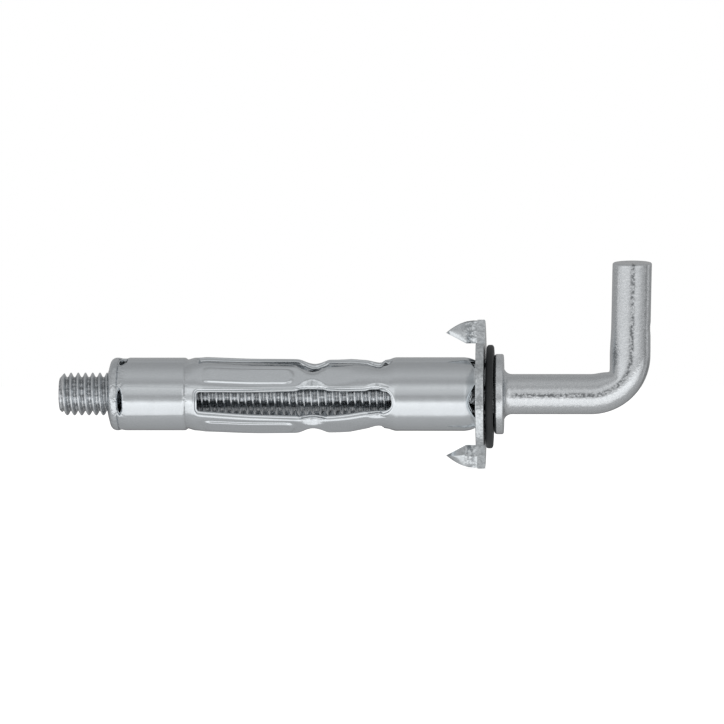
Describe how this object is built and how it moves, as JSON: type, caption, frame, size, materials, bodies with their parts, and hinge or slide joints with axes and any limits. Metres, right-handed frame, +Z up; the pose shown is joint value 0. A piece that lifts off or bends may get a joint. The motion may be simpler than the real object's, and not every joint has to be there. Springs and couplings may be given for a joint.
{
  "type": "hollow wall anchor with square hook screw",
  "caption": "Steel hollow wall anchor: a slit, waisted sleeve with a spiked flange, and a right-hand hook screw with a collar that turns in a nut held in the sleeve's far end.",
  "frame": {"origin": "on the anchor's axis, in the plane of the flange's wall-side face, which is the face of the wall when it is fitted", "axes": "+X along the anchor's axis out of the wall towards the hook, +Z up along the hook's leg, +Y away from the reader to complete a right-handed frame"},
  "size_m": [0.0813, 0.0204, 0.0286],
  "materials": {
    "sleeve_zinc": "bright zinc plated sheet steel",
    "nut_zinc": "zinc plated turned steel",
    "flange_zinc": "bright zinc plated pressed steel, sheared edges",
    "black_rubber": "moulded black rubber",
    "hook_zinc": "satin zinc plated steel wire, rolled thread"
  },
  "bodies": {
    "anchor": {"expansion_sleeve": "sleeve_zinc", "threaded_nut": "nut_zinc", "spiked_flange": "flange_zinc"},
    "washer_slide": {"washer": "black_rubber"},
    "hook": {"hook_screw": "hook_zinc"}
  },
  "joints": [
    {"name": "screw_travel", "type": "slide", "parent": "anchor", "child": "washer_slide", "axis": [1, 0, 0], "range_m": [-0.00011, 0.01501]},
    {"name": "hook_turn", "type": "hinge", "parent": "washer_slide", "child": "hook", "pos_m": [0.01, 0, 0], "axis": [1, 0, 0], "range_deg": [-36, 5400]}
  ],
  "couplings": [
    {"joint": "screw_travel", "follows": "hook_turn", "m_per_rad": 0.00015915}
  ]
}
